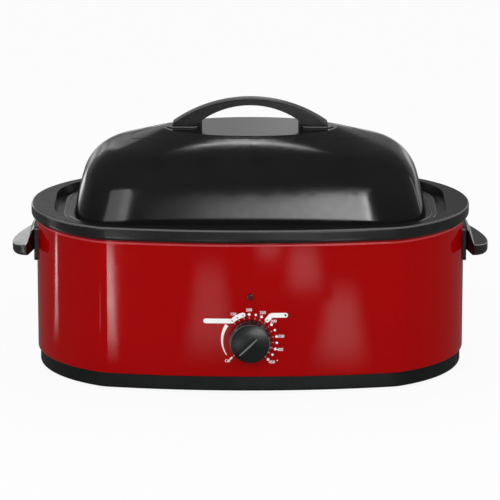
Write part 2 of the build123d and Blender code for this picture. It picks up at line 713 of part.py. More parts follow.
def control_knob():
    """Round knob, hollow behind, with a hub for the shaft and a V groove for a pointer."""
    face = -KNOB_DEPTH
    brow = KNOB_RADIUS - 2.4
    rim = face + KNOB_CAMBER
    sides = Polyline((0, face), (0, 0), (KNOB_RADIUS, 0), (KNOB_RADIUS - 0.5, -10.0), (brow, rim))
    dome = ThreePointArc((brow, rim), (brow / 2, face + KNOB_CAMBER / 4), (0, face))
    knob = revolve(make_face(Wire([*sides.edges(), *dome.edges()])), Axis.Y)
    knob = fillet(knob.edges().filter_by(GeomType.CIRCLE).sort_by(Axis.Y)[1], 1.2)
    hollow = rod(KNOB_RADIUS - KNOB_SKIN, (0, 0, 0), (0, -HUB_DEPTH, 0))
    knob -= hollow - rod(HUB_RADIUS, (0, 0, 0), (0, -HUB_DEPTH, 0))
    bore = rod(SHAFT_RADIUS + RUNNING_GAP, (0, 0, 0), (0, -HUB_DEPTH, 0))
    knob -= bore - block(-5, 5, -HUB_DEPTH, -FLAT_START, FLAT_OFFSET + RUNNING_GAP, 8)
    groove = Polyline(
        (GROOVE_BOTTOM_X - 2 * GROOVE_STEEP_RUN, -GROOVE_DEPTH),
        (GROOVE_BOTTOM_X, GROOVE_DEPTH),
        (GROOVE_BOTTOM_X + 2 * GROOVE_SLANT_RUN, -GROOVE_DEPTH),
        close=True,
    )
    groove = extrude(make_face(groove), amount=45)
    knob -= Pos(0, face, GROOVE_START) * Rot(-2.5, 0, 0) * groove
    return at_knob(knob)


def thermostat_shaft():
    """Shaft with a flat for the knob; it turns in the thermostat's bore."""
    front = 0.4 - HUB_DEPTH
    shaft = rod(SHAFT_RADIUS, (0, front, 0), (0, SHAFT_END - KNOB_BACK, 0))
    return at_knob(shaft - block(-5, 5, front, -FLAT_START, FLAT_OFFSET, 8))


def knob_spring():
    """Split ring that grips the knob's hub."""
    ring = rod(HUB_RADIUS + 1.0, (0, -5.4, 0), (0, -3.0, 0))
    ring -= rod(HUB_RADIUS + 0.05, (0, -5.4, 0), (0, -3.0, 0))
    return at_knob(ring - block(-1.5, 1.5, -5.4, -3.0, 0, 10))


# Lamp, thermostat and gland

BRACKET_FRONT = -(RIM_HALF_WIDTH - HOUSING_INSET - SHEET - 0.6)
BODY_FRONT = BRACKET_FRONT + 1.2
BODY_BACK = BODY_FRONT + 22.0
SHAFT_END = BODY_FRONT + 14.5


def indicator_lens():
    """Domed lens with a hollow stem through the panel."""
    front = -(RIM_HALF_WIDTH - HOUSING_INSET) - 0.02
    cap = rod(LENS_RADIUS, (0, front - 2.0, LAMP_Z), (0, front, LAMP_Z))
    cap = fillet(cap.edges().sort_by(Axis.Y)[0], 1.5)
    lens = cap + rod(LENS_STEM, (0, front, LAMP_Z), (0, front + 9.0, LAMP_Z))
    return lens - rod(2.6, (0, front + 0.6, LAMP_Z), (0, front + 9.0, LAMP_Z))


def indicator_lamp():
    """Neon lamp held in the lens's stem, with two stiff leads."""
    front = -(RIM_HALF_WIDTH - HOUSING_INSET) + 0.9
    lamp = rod(2.5, (0, front, LAMP_Z), (0, front + 12.0, LAMP_Z))
    for x in (-1.1, 1.1):
        lamp += rod(0.4, (x, front + 12.0, LAMP_Z), (x, front + 17.0, LAMP_Z))
    return lamp


def lamp_retainer():
    """Push-on ring that holds the lens's stem behind the panel."""
    back = -(RIM_HALF_WIDTH - HOUSING_INSET - SHEET) + 0.1
    ring = rod(6.5, (0, back, LAMP_Z), (0, back + 0.6, LAMP_Z))
    return ring - rod(LENS_STEM + 0.02, (0, back, LAMP_Z), (0, back + 0.6, LAMP_Z))


def thermostat_body():
    """Thermostat case with the bore that its shaft turns in."""
    case = block(-22, 22, BODY_FRONT, BODY_BACK, KNOB_Z - 19, KNOB_Z + 19)
    case = fillet(case.edges().filter_by(Axis.Y), 3.0)
    case -= rod(SHAFT_RADIUS + RUNNING_GAP, (0, BODY_FRONT, KNOB_Z), (0, SHAFT_END + 0.5, KNOB_Z))
    for x in (-THERMOSTAT_SCREW_X, THERMOSTAT_SCREW_X):
        case -= rod(THERMOSTAT_SCREW_RADIUS + 0.05, (x, BODY_FRONT, KNOB_Z), (x, BODY_FRONT + 9, KNOB_Z))
    for x in (-12.0, 12.0):
        case += block(x - 3, x + 3, BODY_BACK - 7, BODY_BACK - 6.2, KNOB_Z - 27, KNOB_Z - 18)
    return case


def thermostat_bracket():
    """Plate between the wrap and the thermostat."""
    back = BODY_FRONT
    plate = block(-27, 27, BRACKET_FRONT, back, KNOB_Z - 21, KNOB_Z + 21)
    plate = fillet(plate.edges().filter_by(Axis.Y), 4.0)
    plate -= rod(SHAFT_HOLE, (0, BRACKET_FRONT, KNOB_Z), (0, back, KNOB_Z))
    for x in (-THERMOSTAT_SCREW_X, THERMOSTAT_SCREW_X):
        plate -= rod(THERMOSTAT_SCREW_RADIUS + 0.2, (x, BRACKET_FRONT, KNOB_Z), (x, back, KNOB_Z))
    return plate


def thermostat_screws():
    """Screws through the panel, hidden behind the knob."""
    front = -(RIM_HALF_WIDTH - HOUSING_INSET) - 0.02
    screws = []
    for x in (-THERMOSTAT_SCREW_X, THERMOSTAT_SCREW_X):
        tip = (x, BODY_FRONT + 8.0, KNOB_Z)
        screws.append(pan_screw(THERMOSTAT_SCREW_RADIUS, 3.6, 2.0, (x, front, KNOB_Z), tip))
    return screws


STRAP_Z = 100.0


def sensing_strap():
    """Copper strap that carries the liner's heat to the thermostat."""
    wall = -(RECESS_HALF_WIDTH - LINER_INSET) - 0.1
    pad = block(-12, 12, wall - 1.2, wall, STRAP_Z - 5, STRAP_Z + 14)
    arm = block(-8, 8, BODY_BACK, wall, STRAP_Z - 5, STRAP_Z - 3.8)
    tail = block(-8, 8, BODY_BACK, BODY_BACK + 1.2, KNOB_Z + 8, STRAP_Z - 3.8)
    return pad + arm + tail


def cord_gland():
    """Gland for the mains lead: a collar and a rounded cap outside, a stem inside."""
    wall = side_y(GLAND_X - 11.0, HOUSING_INSET) + 0.05
    inner = side_y(GLAND_X + 11.0, HOUSING_INSET + SHEET) - 12.0
    collar = rod(10.0, (GLAND_X, wall, GLAND_Z), (GLAND_X, wall + 4.5, GLAND_Z))
    collar = fillet(collar.edges().sort_by(Axis.Y)[-1], 2.0)
    cap = rod(8.0, (GLAND_X, wall, GLAND_Z), (GLAND_X, wall + GLAND_REACH, GLAND_Z))
    cap = fillet(cap.edges().sort_by(Axis.Y)[-1], 3.0)
    gland = collar + cap + rod(GLAND_STEM, (GLAND_X, inner, GLAND_Z), (GLAND_X, wall, GLAND_Z))
    return gland - rod(GLAND_BORE, (GLAND_X, inner, GLAND_Z), (GLAND_X, wall + GLAND_REACH, GLAND_Z))


def gland_nut():
    """Hexagon nut that pulls the gland against the wall from inside."""
    top = side_y(GLAND_X + 11.0, HOUSING_INSET + SHEET) - 0.1
    start, end = (GLAND_X, top, GLAND_Z), (GLAND_X, top - 4.5, GLAND_Z)
    return hexagon(17.0, start, end) - rod(GLAND_STEM + 0.05, start, end)


# Body, inside


def inner_liner():
    """Heated well, hung by its flange from the rim's ledge and bosses."""
    top = LEDGE_TOP - RIM_WALL
    outside = slab(recess(LINER_INSET), LINER_BOTTOM, top)
    outside = fillet(edges_at(outside, LINER_BOTTOM), 15.0)
    liner = outside + slab(recess(1.2), top - SHEET, top)
    for x, y in BOSS_POINTS:
        if y == 0:
            end = x + (5.5 if x > 0 else -5.5)
            liner += block(min(end, 0.9 * x), max(end, 0.9 * x), -8, 8, top - SHEET, top)
        else:
            end = y + (5.5 if y > 0 else -5.5)
            liner += block(x - 8, x + 8, min(end, 0.85 * y), max(end, 0.85 * y), top - SHEET, top)
        liner -= rod(LINER_SCREW_RADIUS + 0.2, (x, y, top - 2), (x, y, top))
    inside = slab(recess(LINER_INSET + SHEET), LINER_BOTTOM + SHEET, top + 1)
    return liner - fillet(edges_at(inside, LINER_BOTTOM + SHEET), 15.0 - SHEET)


def liner_screws():
    """Screws through the liner's tabs into the rim's bosses."""
    under_head = LEDGE_TOP - RIM_WALL - SHEET
    return [
        pan_screw(LINER_SCREW_RADIUS, 3.6, 2.2, (x, y, under_head), (x, y, under_head + 8.0))
        for x, y in BOSS_POINTS
    ]


BAND_INSET = LINER_INSET - 0.1
BAND_THICKNESS = 2.2
BAND_BOTTOM = 62.0
BAND_TOP = 92.0
BAND_GAP = 12.0


def heater_band():
    """Flat heating band round the liner, open at the back."""
    band = slab(recess(BAND_INSET - BAND_THICKNESS), BAND_BOTTOM, BAND_TOP)
    band -= slab(recess(BAND_INSET), BAND_BOTTOM, BAND_TOP)
    return band - block(-BAND_GAP, BAND_GAP, 0, 200, BAND_BOTTOM, BAND_TOP)


def band_ears():
    """Angle ears at the band's ends."""
    inner = RECESS_HALF_WIDTH - BAND_INSET + BAND_THICKNESS + 0.05
    ears = []
    for side in (-1, 1):
        x0, x1 = sorted((side * (BAND_GAP - 1.5), side * (BAND_GAP - 3.0)))
        stand = block(x0, x1, inner, inner + 10.0, BAND_BOTTOM + 4, BAND_TOP - 4)
        f0, f1 = sorted((side * (BAND_GAP - 1.5), side * (BAND_GAP + 10.0)))
        foot = block(f0, f1, inner, inner + 1.5, BAND_BOTTOM + 4, BAND_TOP - 4)
        ear = stand + foot
        for z in (BAND_BOTTOM + 9, BAND_TOP - 9):
            ear -= rod(2.1, (-20, inner + 6, z), (20, inner + 6, z))
        ears.append(ear)
    return ears


def band_bolts():
    """Bolts and nuts that draw the band's ears together."""
    y = RECESS_HALF_WIDTH - BAND_INSET + BAND_THICKNESS + 6.05
    bolts = []
    ear = BAND_GAP - 1.5
    for z in (BAND_BOTTOM + 9, BAND_TOP - 9):
        bolt = pan_screw(2.0, 3.6, 2.2, (ear + 0.02, y, z), (-ear - 5.0, y, z))
        bolts.append(bolt + hexagon(7.0, (-ear - 0.02, y, z), (-ear - 3.2, y, z)))
    return bolts


def heater_terminals():
    """Spade terminals on ceramic beads beside the band's gap."""
    wall = RECESS_HALF_WIDTH - BAND_INSET + BAND_THICKNESS + 0.05
    middle = (BAND_BOTTOM + BAND_TOP) / 2
    terminals = []
    for side in (-1, 1):
        x = side * 32.0
        bead = rod(4.0, (x, wall, middle), (x, wall + 6.0, middle))
        spade = block(x - 3, x + 3, wall + 5.5, wall + 6.3, middle - 3, middle + 11)
        terminals.append(bead + spade)
    return terminals


def insulation_blanket():
    """Glass wool blanket round the liner."""
    blanket = slab(recess(5.0), 50.0, 182.0) - slab(recess(17.2), 50.0, 182.0)
    blanket -= block(-14, 14, -200, 0, STRAP_Z - 8, STRAP_Z + 16)
    return blanket - block(-42, 42, 0, 200, 50.0, 98.0)


BAFFLE_BOTTOM = 34.0
BAFFLE_SHEET = 0.8


def heat_baffle():
    """Reflector plate under the liner."""
    top = BAFFLE_BOTTOM + BAFFLE_SHEET
    plate = slab(recess(30.0), BAFFLE_BOTTOM, top)
    for x in (-STUD_X, STUD_X):
        plate -= rod(STUD_RADIUS + 0.3, (x, 0, BAFFLE_BOTTOM), (x, 0, top))
    return plate


def clamp_studs():
    """Studs under the liner that draw the whole body together."""
    return [
        rod(STUD_RADIUS, (x, 0, PLATE_BOTTOM - 3.6), (x, 0, LINER_BOTTOM))
        for x in (-STUD_X, STUD_X)
    ]


def stud_spacers():
    """Sleeves on the studs, below and above the baffle."""
    spans = [
        (PLATE_BOTTOM + PLATE_SHEET, BAFFLE_BOTTOM),
        (BAFFLE_BOTTOM + BAFFLE_SHEET, LINER_BOTTOM),
    ]
    sleeves = []
    for x in (-STUD_X, STUD_X):
        for bottom, top in spans:
            sleeve = rod(5.0, (x, 0, bottom), (x, 0, top))
            sleeves.append(sleeve - rod(STUD_RADIUS + 0.3, (x, 0, bottom), (x, 0, top)))
    return sleeves


def clamp_nuts():
    """Nuts under the bottom plate."""
    nuts = []
    for x in (-STUD_X, STUD_X):
        start, end = (x, 0, PLATE_BOTTOM - 3.0), (x, 0, PLATE_BOTTOM)
        nuts.append(hexagon(8.0, start, end) - rod(STUD_RADIUS + 0.05, start, end))
    return nuts


BLOCK_TOP = 25.0


def terminal_block():
    """Ceramic block where the mains lead meets the inner leads."""
    bottom = PLATE_BOTTOM + PLATE_SHEET
    body = block(BLOCK_X - 17, BLOCK_X + 17, BLOCK_Y - 9, BLOCK_Y + 9, bottom, BLOCK_TOP)
    for side in (-1, 1):
        x = BLOCK_X + side * BLOCK_SCREW_SPAN
        body -= rod(PLATE_SCREW_RADIUS + 0.05, (x, BLOCK_Y, bottom), (x, BLOCK_Y, BLOCK_TOP))
        x = BLOCK_X + side * 4.5
        body -= rod(1.75, (x, BLOCK_Y, BLOCK_TOP - 7), (x, BLOCK_Y, BLOCK_TOP))
    return body


def terminal_screws():
    """Two fixing screws and two clamping screws in the terminal block."""
    screws = []
    for side in (-1, 1):
        x = BLOCK_X + side * BLOCK_SCREW_SPAN
        tip = (x, BLOCK_Y, PLATE_BOTTOM - 1.0)
        screws.append(pan_screw(PLATE_SCREW_RADIUS, 3.0, 1.8, (x, BLOCK_Y, BLOCK_TOP), tip))
        x = BLOCK_X + side * 4.5
        tip = (x, BLOCK_Y, BLOCK_TOP - 6.0)
        screws.append(pan_screw(PLATE_SCREW_RADIUS, 2.8, 1.6, (x, BLOCK_Y, BLOCK_TOP), tip))
    return screws


def ground_screw():
    """Earth screw and nut in the bottom plate."""
    x, y = GROUND_POINT
    top = PLATE_BOTTOM + PLATE_SHEET
    screw = pan_screw(2.0, 3.8, 2.2, (x, y, PLATE_BOTTOM), (x, y, top + 7.0))
    return screw + hexagon(7.0, (x, y, top), (x, y, top + 3.2))


LEAD_RADIUS = 1.4
LEAD_Z = 17.0


def inner_leads():
    """Insulated leads, in the space under the baffle and up the walls, by node name."""
    thermostat_foot = KNOB_Z - 27
    front = BODY_BACK - 6.6
    spade_y = RECESS_HALF_WIDTH - BAND_INSET + BAND_THICKNESS + 12.0
    supply = [
        (BLOCK_X - 17, BLOCK_Y - 4, LEAD_Z), (24, BLOCK_Y - 4, LEAD_Z), (12, 20, LEAD_Z),
        (12, front, LEAD_Z), (12, front, thermostat_foot)]
    heater = [
        (-12, front, thermostat_foot), (-12, front, LEAD_Z), (-32, 0, LEAD_Z),
        (-32, spade_y, LEAD_Z), (-32, spade_y, BAND_BOTTOM - 4)]
    neutral = [
        (BLOCK_X - 17, BLOCK_Y + 4, LEAD_Z + 4), (34, BLOCK_Y + 4, LEAD_Z + 4),
        (34, spade_y, 36), (34, spade_y, BAND_BOTTOM - 4)]
    return {
        "lead_supply": wire(LEAD_RADIUS, supply, 9.0),
        "lead_heater": wire(LEAD_RADIUS, heater, 9.0),
        "lead_neutral": wire(LEAD_RADIUS, neutral, 5.0),
    }


def lamp_lead():
    """Thin leads from the thermostat up to the lamp."""
    top_y = -(RIM_HALF_WIDTH - HOUSING_INSET) + 18.0
    leads = []
    for x in (-1.1, 1.1):
        route = [(x * 5, BODY_FRONT + 11, KNOB_Z + 19), (x * 5, BODY_FRONT + 11, LAMP_Z - 12)]
        route += [(x, top_y, LAMP_Z - 6), (x, top_y, LAMP_Z - 0.4)]
        leads.append(wire(0.6, route, 2.5))
    return leads


def model():
    """Every sub-part by node name."""
    nodes = {
        "top_rim": top_rim(),
        "outer_housing": outer_housing(),
        "housing_back": housing_back(),
        "housing_splices": housing_splices(),
        "splice_rivets": splice_rivets(),
        "base_skirt": base_skirt(),
        "bottom_plate": bottom_plate(),
        "rubber_feet": rubber_feet(),
        "side_handle_left": side_handle(-1),
        "side_handle_right": side_handle(1),
        "side_handle_screws": side_handle_screws(),
        "lid_shell": lid_shell(),
        "lid_handle": lid_handle(),
        "lid_handle_screws": lid_handle_screws(),
        "lid_handle_washers": lid_handle_washers(),
        "roasting_pan": roasting_pan(),
        "roasting_rack": roasting_rack(),
        "control_knob": control_knob(),
        "thermostat_shaft": thermostat_shaft(),
        "knob_spring": knob_spring(),
        "indicator_lens": indicator_lens(),
        "indicator_lamp": indicator_lamp(),
        "lamp_retainer": lamp_retainer(),
        "thermostat_body": thermostat_body(),
        "thermostat_bracket": thermostat_bracket(),
        "thermostat_screws": thermostat_screws(),
        "sensing_strap": sensing_strap(),
        "cord_gland": cord_gland(),
        "gland_nut": gland_nut(),
        "inner_liner": inner_liner(),
        "liner_screws": liner_screws(),
        "heater_band": heater_band(),
        "band_ears": band_ears(),
        "band_bolts": band_bolts(),
        "heater_terminals": heater_terminals(),
        "insulation_blanket": insulation_blanket(),
        "heat_baffle": heat_baffle(),
        "clamp_studs": clamp_studs(),
        "stud_spacers": stud_spacers(),
        "clamp_nuts": clamp_nuts(),
        "terminal_block": terminal_block(),
        "terminal_screws": terminal_screws(),
        "ground_screw": ground_screw(),
        "lead_lamp": lamp_lead(),
    }
    nodes.update(inner_leads())
    return nodes


os.makedirs("parts", exist_ok=True)
for name, shape in model().items():
    solids = []
    for piece in shape if isinstance(shape, list) else [shape]:
        solids += piece.solids()
    whole = solids[0] if len(solids) == 1 else Compound(children=solids)
    export_step(whole, f"parts/{name}.step")
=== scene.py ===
import json
from math import atan2, cos, pi, radians, sin, sqrt

import bmesh
import bpy
from mathutils import Matrix, Quaternion, Vector

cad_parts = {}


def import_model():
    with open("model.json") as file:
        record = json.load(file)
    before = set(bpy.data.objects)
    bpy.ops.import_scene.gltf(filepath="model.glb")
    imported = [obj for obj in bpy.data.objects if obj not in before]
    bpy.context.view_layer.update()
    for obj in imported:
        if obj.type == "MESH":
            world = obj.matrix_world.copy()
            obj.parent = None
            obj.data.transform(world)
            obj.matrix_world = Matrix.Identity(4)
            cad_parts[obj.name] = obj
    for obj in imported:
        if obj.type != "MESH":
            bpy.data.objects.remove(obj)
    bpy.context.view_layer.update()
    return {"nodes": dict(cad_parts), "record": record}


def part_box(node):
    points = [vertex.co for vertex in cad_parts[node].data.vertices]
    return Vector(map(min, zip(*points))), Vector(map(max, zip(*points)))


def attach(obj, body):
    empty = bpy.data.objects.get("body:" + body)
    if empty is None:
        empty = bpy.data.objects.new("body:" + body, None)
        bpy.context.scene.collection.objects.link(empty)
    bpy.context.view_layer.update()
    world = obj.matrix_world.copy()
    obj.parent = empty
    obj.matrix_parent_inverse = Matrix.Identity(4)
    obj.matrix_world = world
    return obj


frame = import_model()

# Electric roaster oven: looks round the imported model. Metres, the same frame as the part:
# +Z up, front towards -Y, origin on the floor under the middle of the body.

NODES = frame["nodes"]
MM = 0.001

# Plan outline of the body at the rim's outer edge, as the part has it
RIM_HALF_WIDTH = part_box("top_rim")[1].y
SIDE_RADIUS = 850 * MM
HOUSING_INSET = RIM_HALF_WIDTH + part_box("outer_housing")[0].y
KNOB_CENTRE = (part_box("control_knob")[0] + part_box("control_knob")[1]) / 2


# Materials

# How far a normal's tilt goes while an edge's painted highlight, a lighter colour, comes in and goes out
HIGHLIGHT_FADE_IN, HIGHLIGHT_FADE_OUT = 0.1, 0.04

# Features per metre of the slow change of colour and of the patches of gloss
COLOUR_SCALE, GLOSS_SCALE = 22.0, 90.0

# Heights between which an edge gets a painted highlight, a lighter colour
LID_PAD_HIGHLIGHT_HEIGHTS = (0.2918, 0.3)
LID_FLANGE_HIGHLIGHT_HEIGHTS = (0.19, 0.1947)
PAN_FLANGE_HIGHLIGHT_HEIGHTS = (0.19, 0.1945)
KNOB_HIGHLIGHT_HEIGHTS = (0.052, 0.1)


class Nodes:
    """A material's node tree with short calls for the nodes used here."""

    def __init__(self, name):
        self.material = bpy.data.materials.new(name)
        self.material.use_nodes = True
        self.tree = self.material.node_tree
        self.shader = self.tree.nodes["Principled BSDF"]
        self.place = self.add("ShaderNodeTexCoord").outputs["Object"]

    def add(self, kind, **settings):
        node = self.tree.nodes.new(kind)
        for key, value in settings.items():
            setattr(node, key, value)
        return node

    def link(self, out, into):
        self.tree.links.new(out, into)

    def set(self, **values):
        """Sets the shader's sockets; an underscore stands for a space."""
        for key, value in values.items():
            self.shader.inputs[key.replace("_", " ")].default_value = value

    def noise(self, scale, detail=3.0, stretch=(1, 1, 1)):
        """Noise with a feature size of about 1 / scale metres."""
        place = self.place
        if stretch != (1, 1, 1):
            mapping = self.add("ShaderNodeMapping")
            mapping.inputs["Scale"].default_value = stretch
            self.link(place, mapping.inputs["Vector"])
            place = mapping.outputs["Vector"]
        node = self.add("ShaderNodeTexNoise")
        node.inputs["Scale"].default_value = scale
        node.inputs["Detail"].default_value = detail
        self.link(place, node.inputs["Vector"])
        return node.outputs["Fac"]

    def spread(self, value, low, high, start=0.3, end=0.7):
        """A number that goes from low to high as value goes from start to end."""
        node = self.add("ShaderNodeMapRange")
        node.inputs["From Min"].default_value = start
        node.inputs["From Max"].default_value = end
        node.inputs["To Min"].default_value = low
        node.inputs["To Max"].default_value = high
        self.link(value, node.inputs["Value"])
        return node.outputs["Result"]

    def tint(self, value, first, second):
        """A colour between two as value goes from 0 to 1."""
        node = self.add("ShaderNodeMix", data_type="RGBA")
        self.link(value, node.inputs["Factor"])
        node.inputs["A"].default_value = (*first, 1)
        node.inputs["B"].default_value = (*second, 1)
        return node.outputs["Result"]

    def paint_edge_highlights(self, low, high, colour, across="Z", heights=None):
        """Paints a highlight on rounded edges: a lighter colour where the normal is between two tilts along
        an axis (upwards only for Z), and where the height is between two heights if they are given."""
        normal = self.add("ShaderNodeSeparateXYZ")
        self.link(self.add("ShaderNodeNewGeometry").outputs["Normal"], normal.inputs[0])
        tilt = normal.outputs[across]
        if across != "Z":
            size = self.add("ShaderNodeMath", operation="ABSOLUTE")
            self.link(tilt, size.inputs[0])
            tilt = size.outputs[0]
        rising = self.spread(tilt, 0.0, 1.0, low, low + HIGHLIGHT_FADE_IN)
        falling = self.spread(tilt, 1.0, 0.0, high - HIGHLIGHT_FADE_OUT, high)
        both = self.add("ShaderNodeMath", operation="MULTIPLY")
        self.link(rising, both.inputs[0])
        self.link(falling, both.inputs[1])
        share = both.outputs[0]
        if heights:
            place = self.add("ShaderNodeSeparateXYZ")
            self.link(self.place, place.inputs[0])
            for operation, height in zip(("GREATER_THAN", "LESS_THAN"), heights):
                inside = self.add("ShaderNodeMath", operation=operation)
                inside.inputs[1].default_value = height
                self.link(place.outputs["Z"], inside.inputs[0])
                kept = self.add("ShaderNodeMath", operation="MULTIPLY")
                self.link(share, kept.inputs[0])
                self.link(inside.outputs[0], kept.inputs[1])
                share = kept.outputs[0]
        # The painted highlight: the base colour mixed towards a lighter grey on those edges
        mix = self.add("ShaderNodeMix", data_type="RGBA")
        self.link(share, mix.inputs["Factor"])
        self.link(self.shader.inputs["Base Color"].links[0].from_socket, mix.inputs["A"])
        mix.inputs["B"].default_value = (*colour, 1)
        self.link(mix.outputs["Result"], self.shader.inputs["Base Color"])

    def bump(self, value, height):
        """Raises the surface by value times height metres."""
        node = self.add("ShaderNodeBump")
        node.inputs["Strength"].default_value = 1.0
        node.inputs["Distance"].default_value = height
        self.link(value, node.inputs["Height"])
        if self.shader.inputs["Normal"].links:
            self.link(self.shader.inputs["Normal"].links[0].from_socket, node.inputs["Normal"])
        self.link(node.outputs["Normal"], self.shader.inputs["Normal"])


def grey(level):
    return (level, level, level)


def finish_of(name, colour, rough, shift=0.15, grain=300.0, grain_height=0.0, edges=(), **sockets):
    """A plain finish: colour and gloss that vary a little, fine grain and painted highlights on rounded
    edges.
    """
    made = Nodes(name)
    slow = made.spread(made.noise(COLOUR_SCALE), 0.0, 1.0)
    lighter = [min(1.0, c * (1 + shift)) for c in colour]
    darker = [c * (1 - shift) for c in colour]
    made.link(made.tint(slow, darker, lighter), made.shader.inputs["Base Color"])
    gloss = made.spread(made.noise(GLOSS_SCALE, 5.0), rough * 0.85, rough * 1.15)
    made.link(gloss, made.shader.inputs["Roughness"])
    if grain_height:
        made.bump(made.noise(grain, 4.0), grain_height)
    for edge in edges:
        made.paint_edge_highlights(*edge)
    made.set(**sockets)
    return made.material


def brushed(name, colour, rough=0.32, stretch=(1, 1, 14)):
    """Sheet metal with a fine drawn grain."""
    made = Nodes(name)
    streaks = made.noise(420.0, 4.0, stretch)
    made.link(made.tint(streaks, [c * 0.82 for c in colour], colour), made.shader.inputs["Base Color"])
    made.link(made.spread(streaks, rough * 0.8, rough * 1.3), made.shader.inputs["Roughness"])
    made.bump(streaks, 0.02 * MM)
    made.set(Metallic=1.0)
    return made.material


def wool(name):
    """Yellow glass wool."""
    made = Nodes(name)
    fibres = made.noise(260.0, 8.0, (1, 1, 3))
    made.link(made.tint(fibres, (0.5, 0.36, 0.1), (0.9, 0.8, 0.45)), made.shader.inputs["Base Color"])
    made.bump(fibres, 1.2 * MM)
    made.set(Roughness=0.95)
    return made.material


def braid(name):
    """White glass-braid sleeve on the inner leads."""
    made = Nodes(name)
    weave = made.noise(900.0, 2.0, (1, 1, 0.4))
    made.link(made.tint(weave, (0.5, 0.48, 0.44), (0.86, 0.84, 0.8)), made.shader.inputs["Base Color"])
    made.bump(weave, 0.15 * MM)
    made.set(Roughness=0.8)
    return made.material


# The edges entries paint highlights: a lighter grey on rounded edges of the lid's pads and flange, the pan's
# flange, the rim, the side handles, the lid's grip and the knob
MATERIALS = {
    "red_enamel": finish_of("red_enamel", (0.33, 0.0008, 0.0012), 0.08, shift=0.03, grain=700.0,
                            grain_height=0.002 * MM, Specular_IOR_Level=0.2),
    "lid_enamel": finish_of("lid_enamel", (0.009, 0.009, 0.0095), 0.12, grain=900.0,
                            grain_height=0.004 * MM, Specular_IOR_Level=0.4,
                            edges=[(0.2, 0.93, grey(0.22), "Z", LID_PAD_HIGHLIGHT_HEIGHTS),
                                   (0.4, 0.95, grey(0.35), "Z", LID_FLANGE_HIGHLIGHT_HEIGHTS)]),
    "pan_enamel": finish_of("pan_enamel", (0.03, 0.03, 0.032), 0.16, grain=500.0,
                            grain_height=0.006 * MM,
                            edges=[(0.3, 0.95, grey(0.35), "Z", PAN_FLANGE_HIGHLIGHT_HEIGHTS)]),
    "rim_plastic": finish_of("rim_plastic", (0.01, 0.01, 0.0105), 0.23, shift=0.08, grain=1400.0,
                             grain_height=0.01 * MM, edges=[(0.3, 0.93, grey(0.12))],
                             Specular_IOR_Level=0.4),
    "skirt_plastic": finish_of("skirt_plastic", (0.008, 0.0095, 0.0095), 0.42, grain=1400.0,
                               grain_height=0.02 * MM, Specular_IOR_Level=0.25),
    "handle_plastic": finish_of("handle_plastic", (0.01, 0.01, 0.0105), 0.22, grain=1400.0,
                                grain_height=0.006 * MM, Specular_IOR_Level=0.3,
                                edges=[(0.2, 0.9, grey(0.3))]),
    "grip_plastic": finish_of("grip_plastic", (0.009, 0.009, 0.0095), 0.2, grain=1400.0,
                              grain_height=0.02 * MM, Specular_IOR_Level=0.35,
                              edges=[(0.3, 0.85, grey(0.1), "Y")]),
    "knob_plastic": finish_of("knob_plastic", (0.008, 0.009, 0.009), 0.22, grain=1400.0,
                              grain_height=0.006 * MM, Specular_IOR_Level=0.4,
                              edges=[(0.3, 0.6, grey(0.32), "Y", KNOB_HIGHLIGHT_HEIGHTS)]),
    "rubber": finish_of("rubber", grey(0.02), 0.7, grain=900.0, grain_height=0.05 * MM),
    "ceramic": finish_of("ceramic", (0.8, 0.77, 0.7), 0.6, shift=0.05, grain=500.0,
                         grain_height=0.05 * MM),
    # The wall bead's enamel is a lighter, pinker red than the wall's: a painted highlight along the bead
    "bead_highlight_enamel": finish_of("bead_highlight_enamel", (0.5, 0.035, 0.04), 0.25, shift=0.03),
    "lens": finish_of("lens", (0.06, 0.006, 0.006), 0.08, grain=600.0, Coat_Weight=0.5),
    "neon_glass": finish_of("neon_glass", (0.9, 0.6, 0.4), 0.05, shift=0.03, Transmission_Weight=0.8),
    "chrome_wire": finish_of("chrome_wire", (0.82, 0.82, 0.84), 0.08, shift=0.02, Metallic=1.0),
    "zinc_steel": brushed("zinc_steel", (0.62, 0.63, 0.65)),
    "aluminised_steel": brushed("aluminised_steel", (0.5, 0.51, 0.53), 0.42, (1, 1, 0.2)),
    "bright_metal": brushed("bright_metal", (0.78, 0.78, 0.8), 0.25, (1, 1, 1)),
    "brass": brushed("brass", (0.72, 0.5, 0.2), 0.3),
    "copper": brushed("copper", (0.72, 0.36, 0.2), 0.35),
    "glass_wool": wool("glass_wool"),
    "lead_insulation": braid("lead_insulation"),
}
PRINT_WHITE = finish_of("print_white", (0.95, 0.94, 0.93), 0.45, shift=0.03)
PRINT_BLACK = finish_of("print_black", grey(0.02), 0.5)


def dress(piece, material):
    piece.data.materials.clear()
    piece.data.materials.append(material)


def new_piece(name, data, material):
    piece = bpy.data.objects.new(name, data)
    bpy.context.scene.collection.objects.link(piece)
    dress(piece, material)
    return piece


for row in frame["record"]["subparts"]:
    dress(NODES[row["node"]], MATERIALS[row["material_slot"]])


# Print on the front wall


def wall_y(x, out=0.0):
    """Y of the front wall's face at x, moved out by a distance."""
    radius = SIDE_RADIUS - HOUSING_INSET
    return -(RIM_HALF_WIDTH - SIDE_RADIUS + sqrt(radius**2 - x**2)) - out


PRINT_LIFT = 0.12 * MM
PRINT_ROOT = 0.05 * MM
RING_RADIUS = 31.6 * MM
OFF_ANGLE = -134.2
CAPITAL_SHARE = 0.7
LETTER_WEIGHT = 0.012


def on_dial(angle, radius):
    """The point on the panel at an angle clockwise from the top, in degrees, and a radius."""
    turn = radians(angle)
    return (KNOB_CENTRE.x + radius * sin(turn), KNOB_CENTRE.z + radius * cos(turn))


